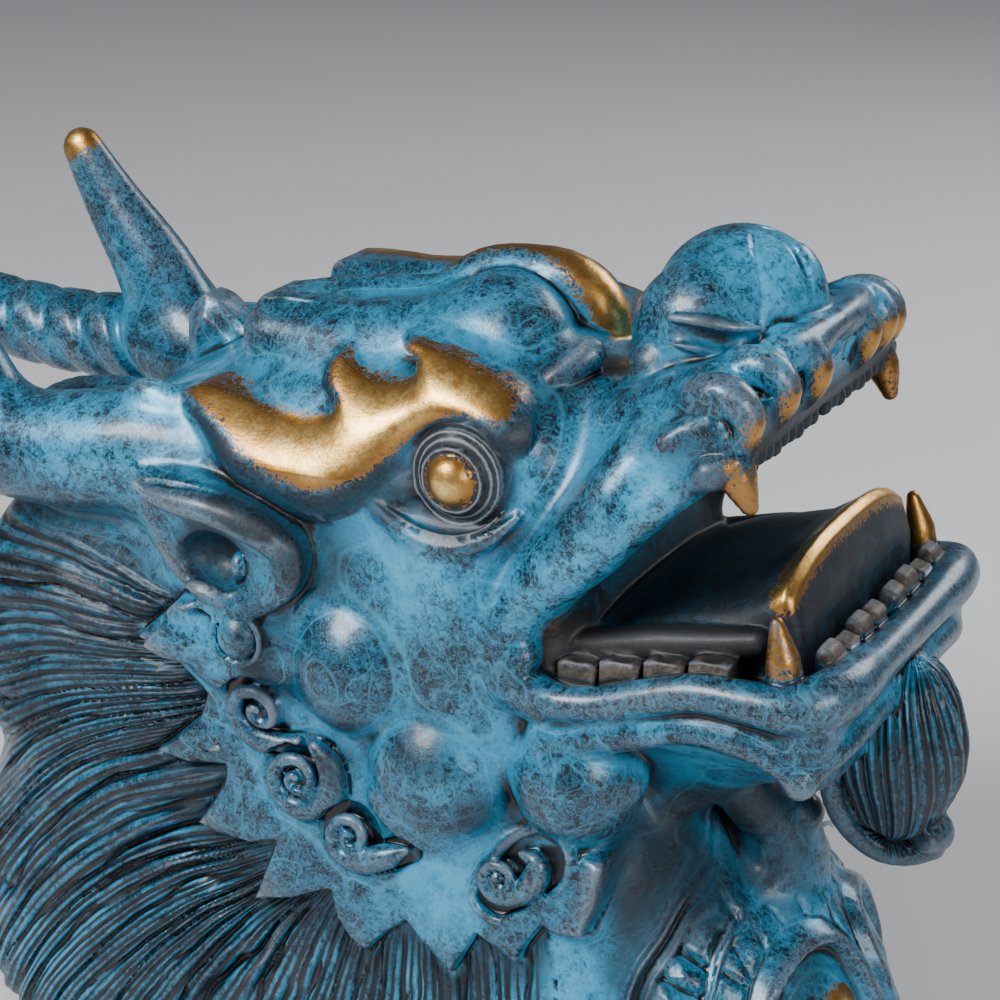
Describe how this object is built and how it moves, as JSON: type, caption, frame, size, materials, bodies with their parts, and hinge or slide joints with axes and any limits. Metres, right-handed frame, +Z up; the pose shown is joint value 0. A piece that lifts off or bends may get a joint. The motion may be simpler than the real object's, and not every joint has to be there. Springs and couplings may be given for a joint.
{
  "type": "guardian beast bust",
  "caption": "Horned open-mouthed guardian beast head with flame mane and armoured chest, a hollow casting cut flat below to stand as a table ornament",
  "frame": {"origin": "middle of the bounding box on the flat underside", "axes": "+X towards the snout, +Y towards the beast's left side, +Z up"},
  "size_m": [0.2084, 0.079, 0.1417],
  "materials": {
    "patinated_copper": "cast copper under a glossy turquoise and dark blue patina, rubbed to gold on brows, eyes, teeth and lips"
  },
  "bodies": {
    "root": {"guardian_bust": "patinated_copper"}
  },
  "joints": []
}
